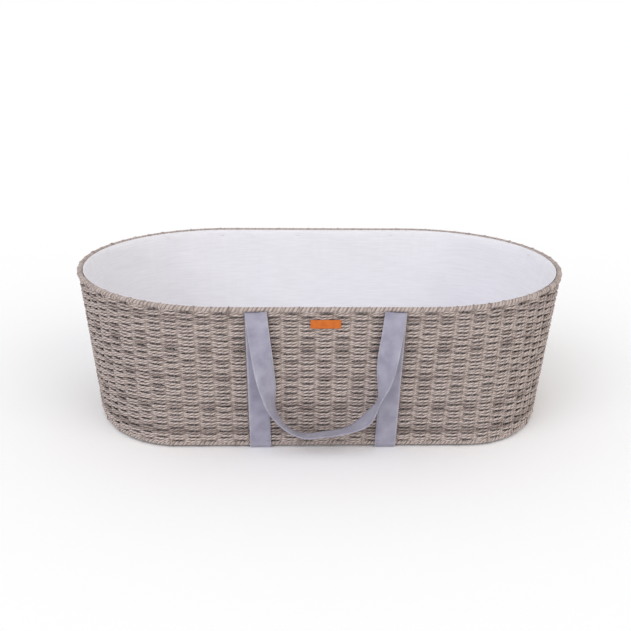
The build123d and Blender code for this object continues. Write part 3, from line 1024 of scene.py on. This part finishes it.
class BASKET_OT_mattress(bpy.types.Operator):
    """Makes the mattress: a padded cotton cover with piped edges over its foam core"""

    bl_idname = "basket.mattress"
    bl_label = "Mattress"

    def pad_sizes(self, shrink):
        """The pad's outline as (half straight, half length, half width)."""
        straight = outline_at(LINER_HIGH.z)[0]
        return straight, PAD_HIGH.x - shrink, PAD_HIGH.y - shrink

    def start_mesh(self, name, shrink):
        """Plain oval block, smaller than the finished pad by shrink on every side."""
        bm = bmesh.new()
        made = bmesh.ops.create_circle(bm, cap_ends=True, segments=96, radius=1.0)
        loop = even_loop(self.pad_sizes(shrink), 96)
        for vert, point in zip(made["verts"], loop):
            vert.co = (*point, PAD_LOW.z + shrink)
        face = bm.faces[:][0]
        grown = bmesh.ops.extrude_face_region(bm, geom=[face])
        top = [item for item in grown["geom"] if isinstance(item, bmesh.types.BMVert)]
        bmesh.ops.translate(bm, vec=(0, 0, PAD_HIGH.z - PAD_LOW.z - 2 * shrink), verts=top)
        bmesh.ops.recalc_face_normals(bm, faces=bm.faces)
        return finished_mesh(bm, name)

    def foam(self):
        """The foam core, clear of the cover's rounded edges."""
        mesh = self.start_mesh("mattress_foam", FOAM_SHRINK)
        piece = add_object("mattress_foam", mesh, "mattress")
        bevel = piece.modifiers.new("Rounded edges", "BEVEL")
        bevel.width = 0.006
        bevel.segments = 3
        bevel.limit_method = "ANGLE"
        piece.data.materials.append(open_cell_foam("open_cell_foam"))
        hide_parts("mattress_core")

    def apply_modifiers(self, piece):
        """Replaces the piece's mesh by what its modifiers make of it."""
        mesh = evaluated_mesh(piece)
        piece.modifiers.clear()
        piece.data = mesh

    def puff(self, piece, most):
        """Swells the cover up and down with a short cloth run, by no more than most."""
        before = np.array([vertex.co for vertex in piece.data.vertices])
        cloth = piece.modifiers.new("Cloth", "CLOTH")
        cloth.settings.use_pressure = True
        cloth.settings.uniform_pressure_force = 4.0
        cloth.settings.effector_weights.gravity = 0.0
        cloth.collision_settings.use_collision = False
        for step in range(1, 21):
            bpy.context.scene.frame_set(step)
        graph = bpy.context.evaluated_depsgraph_get()
        moved = piece.evaluated_get(graph).data
        after = np.array([vertex.co for vertex in moved.vertices])
        piece.modifiers.clear()
        bpy.context.scene.frame_set(1)
        shift = after - before
        far = np.linalg.norm(shift, axis=1)
        shift *= np.minimum(1.0, most / np.maximum(far, 1e-9))[:, None]
        # The foam inside keeps the sides out, so the cover only swells up and down
        shift[:, :2] = 0
        low, high = np.array(PAD_LOW), np.array(PAD_HIGH)
        placed = np.clip(before + shift, low, high)
        piece.data.vertices.foreach_set("co", placed.ravel())

    def execute(self, context):
        self.foam()
        mesh = self.start_mesh("mattress_cover_padded", COVER_SHRINK)
        piece = add_object("mattress_cover_padded", mesh, "mattress")
        remesh = piece.modifiers.new("Remesh", "REMESH")
        remesh.mode = "VOXEL"
        remesh.voxel_size = 0.007
        self.apply_modifiers(piece)
        self.puff(piece, PUFF_MOST)
        smooth = piece.modifiers.new("Soften", "SMOOTH")
        smooth.iterations = 6
        self.apply_modifiers(piece)
        piece.data.shade_smooth()
        refine = piece.modifiers.new("Refine", "SUBSURF")
        refine.levels = 1
        refine.render_levels = 1
        piece.data.materials.append(self.cotton_sheeting())
        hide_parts("mattress_cover")
        self.piping(piece)
        return {"FINISHED"}

    def cotton_sheeting(self):
        """White cotton sheeting: fine even threads, read from the object's own place."""
        material, shader = start_material(
            "mattress_sheeting", Roughness=0.9, Sheen_Weight=0.2, Specular_IOR_Level=0.2
        )
        place = add_node(material, "TexCoord").outputs["Object"]
        split = add_node(material, "SeparateXYZ", links={0: place}).outputs
        warp = thread_wave(material, split[0], 0.0009)
        weft = thread_wave(material, split[1], 0.0009)
        weave = add_node(material, "Math", {"operation": "MULTIPLY"}, {0: warp, 1: weft})
        slub = thread_slubs(material, place, (60.0, 420.0, 420.0))
        tone = ramp(material, slub, [(0.3, srgb("#efeef3")), (0.65, srgb("#f6f5fa"))])
        connect(material, tone, shader, "Base Color")
        add_bump(material, shader, weave, 0.0002, 0.6)
        return material

    def seam_line(self, mesh, z):
        """Points round the cover's surface at height z."""
        bm = bmesh.new()
        bm.from_mesh(mesh)
        whole = bm.verts[:] + bm.edges[:] + bm.faces[:]
        cut = bmesh.ops.bisect_plane(bm, geom=whole, plane_co=(0, 0, z), plane_no=(0, 0, 1))
        verts = [item for item in cut["geom_cut"] if isinstance(item, bmesh.types.BMVert)]
        points = [tuple(vert.co) for vert in verts]
        bm.free()
        x, y = np.array(points).T[:2]
        whole_turn = 2 * math.pi
        turn = np.linspace(0, whole_turn, 360, endpoint=False)
        angles = np.arctan2(y, x) % whole_turn
        reach = np.interp(turn, angles, np.hypot(x, y), period=whole_turn)
        reach = sum(np.roll(reach, step) for step in (-2, -1, 0, 1, 2)) / 5
        return np.column_stack([reach * np.cos(turn), reach * np.sin(turn), np.full(len(turn), z)])

    def piping(self, cover):
        """Piped seams round the top and bottom edges of the cover."""
        heights = (PAD_LOW.z + PIPING_INSET, PAD_HIGH.z - PIPING_INSET)
        lines = [self.seam_line(cover.data, z) for z in heights]
        mesh = rope_mesh("mattress_piping", lines, radius=0.0016, sides=2)
        sheeting = bpy.data.materials["mattress_sheeting"]
        add_piece("mattress_piping", mesh, "mattress", sheeting)


class BASKET_OT_wire_frame(bpy.types.Operator):
    """Gives the stakes, hoops and base wires their material"""

    bl_idname = "basket.wire_frame"
    bl_label = "Wire Frame"

    def execute(self, context):
        wire = drawn_wire("drawn_steel_wire")
        for name in ("stakes", "rim_wire", "base_wire", "base_cross_wires", "base_long_wires"):
            self.dress(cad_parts[name], wire)
        return {"FINISHED"}

    def dress(self, node, material):
        """Puts one material in all of a node's slots."""
        for slot in node.material_slots:
            slot.material = material


# ---------------------------------------------------------------- stage


class BASKET_OT_stage(bpy.types.Operator):
    """Makes the pale studio floor, the soft lights and the camera"""

    bl_idname = "basket.stage"
    bl_label = "Studio"

    def camera(self, stage):
        """Camera in front of the basket, a little above its rim."""
        el, az, roll = stage.elevation, stage.azimuth, stage.roll
        back = Vector((math.sin(az) * math.cos(el), -math.cos(az) * math.cos(el), math.sin(el)))
        right = (-back).cross(Vector((0, 0, 1))).normalized()
        up = back.cross(right)
        turned_right = right * math.cos(roll) + up * math.sin(roll)
        turned_up = up * math.cos(roll) - right * math.sin(roll)
        data = bpy.data.cameras.new("camera")
        data.lens = stage.lens
        data.sensor_width = 36.0
        data.shift_y = CAMERA_SHIFT_Y
        data.clip_end = 50
        camera = add_object("camera", data)
        turn = Matrix((turned_right, turned_up, back)).transposed()
        place = CAMERA_AIM + back * stage.distance
        camera.matrix_world = Matrix.Translation(place) @ turn.to_4x4()
        bpy.context.scene.camera = camera

    def lamp(self, name, place, strength, colour):
        """Wide soft light that shines from place towards the basket."""
        data = bpy.data.lights.new(name, "SUN")
        data.energy = strength
        data.angle = math.radians(50)
        data.color = srgb(colour)
        lamp = add_object(name, data)
        lamp.location = place
        lamp.rotation_euler = Vector(place).to_track_quat("Z", "Y").to_euler()

    def floor(self):
        """Wide pale floor that runs out past the view."""
        bm = bmesh.new()
        bmesh.ops.create_grid(bm, x_segments=2, y_segments=2, size=30.0)
        mesh = finished_mesh(bm, "studio_floor")
        floor = add_object("studio_floor", mesh)
        paper = start_material("studio_paper", Roughness=0.9, Base_Color=(*srgb("#fdfdfd"), 1))[0]
        mesh.materials.append(paper)

    def execute(self, context):
        stage = context.scene.basket_stage
        self.camera(stage)
        self.floor()
        self.lamp("key_softbox", (-1.6, -2.0, 1.9), stage.key, "#f4f5ff")
        self.lamp("fill_softbox", (1.9, -1.8, 1.5), stage.fill, "#fff6ee")
        world = bpy.data.worlds.new("studio_air")
        context.scene.world = world
        world.use_nodes = True
        air = world.node_tree.nodes["Background"].inputs
        air["Color"].default_value = (1, 1, 1, 1)
        air["Strength"].default_value = stage.air
        context.scene.view_settings.view_transform = "Standard"
        return {"FINISHED"}


STEPS = (
    BASKET_OT_stage,
    BASKET_OT_wire_frame,
    BASKET_OT_wall_weave,
    BASKET_OT_base_weave,
    BASKET_OT_rim_border,
    BASKET_OT_base_border,
    BASKET_OT_liner,
    BASKET_OT_straps,
    BASKET_OT_handles,
    BASKET_OT_tag,
    BASKET_OT_mattress,
)


class BASKET_PT_panel(bpy.types.Panel):
    """Lists the settings and the steps"""

    bl_idname = "BASKET_PT_panel"
    bl_label = "Moses Basket"
    bl_space_type = "VIEW_3D"
    bl_region_type = "UI"
    bl_category = "Basket"

    def draw(self, context):
        scene = context.scene
        for group in (scene.basket_weave, scene.basket_cloth, scene.basket_stage):
            for name in group.__annotations__:
                self.layout.prop(group, name)
        for step in STEPS:
            self.layout.operator(step.bl_idname)


CLASSES = (BasketWeave, BasketCloth, BasketStage, *STEPS, BASKET_PT_panel)


def register():
    for item in CLASSES:
        bpy.utils.register_class(item)
    bpy.types.Scene.basket_weave = PointerProperty(type=BasketWeave)
    bpy.types.Scene.basket_cloth = PointerProperty(type=BasketCloth)
    bpy.types.Scene.basket_stage = PointerProperty(type=BasketStage)


def unregister():
    del bpy.types.Scene.basket_weave
    del bpy.types.Scene.basket_cloth
    del bpy.types.Scene.basket_stage
    for item in reversed(CLASSES):
        bpy.utils.unregister_class(item)


def main():
    register()
    for step in STEPS:
        area, name = step.bl_idname.split(".")
        getattr(getattr(bpy.ops, area), name)()


if __name__ == "__main__":
    main()
